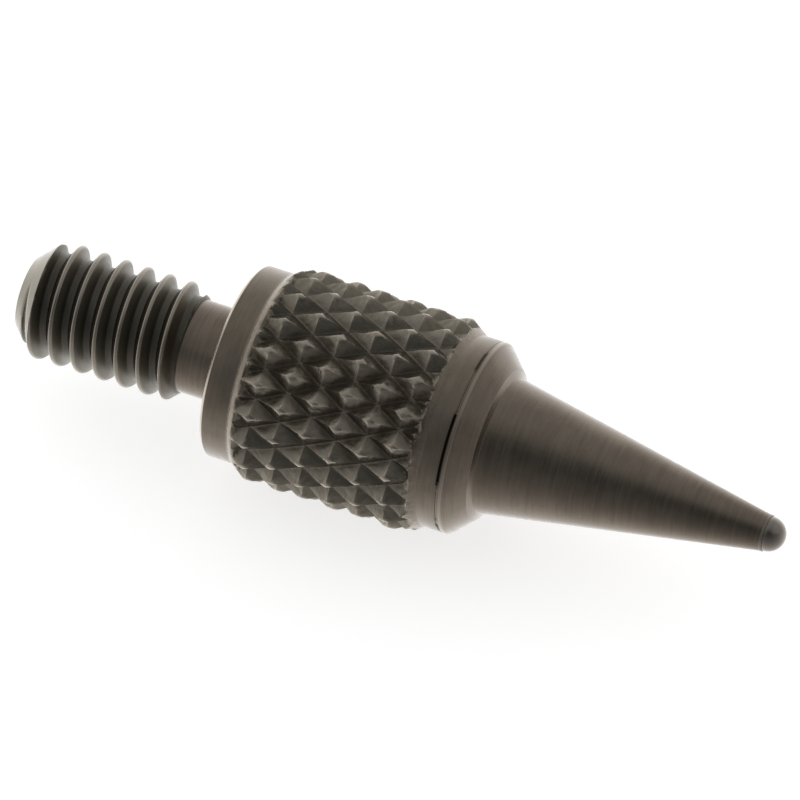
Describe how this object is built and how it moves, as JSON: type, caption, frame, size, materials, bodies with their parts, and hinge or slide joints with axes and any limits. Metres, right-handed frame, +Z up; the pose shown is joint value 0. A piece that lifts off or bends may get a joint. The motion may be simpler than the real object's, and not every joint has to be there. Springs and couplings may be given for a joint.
{
  "type": "tapered indicator contact point",
  "caption": "Slim tapered steel contact point with a fine-thread stud, a diamond-knurled finger sleeve and a small polished ball end.",
  "frame": {"origin": "centre of the sleeve's rear face, where the part seats on the spindle, on the part's axis", "axes": "+X along the axis from the stud towards the ball end, +Z up with the part lying on its side; the part is round about X"},
  "size_m": [0.018, 0.005, 0.005],
  "materials": {
    "stem_steel": "hardened grey-brown steel with fine circumferential grinding marks",
    "sleeve_steel": "satin grey-brown steel, cut knurl",
    "ball_steel": "polished hard ball",
    "braze_alloy": "thin silver braze fillet, ground flush"
  },
  "bodies": {
    "root": {"stem": "stem_steel", "knurled_sleeve": "sleeve_steel", "ball_tip": "ball_steel", "braze_joint": "braze_alloy"}
  },
  "joints": []
}
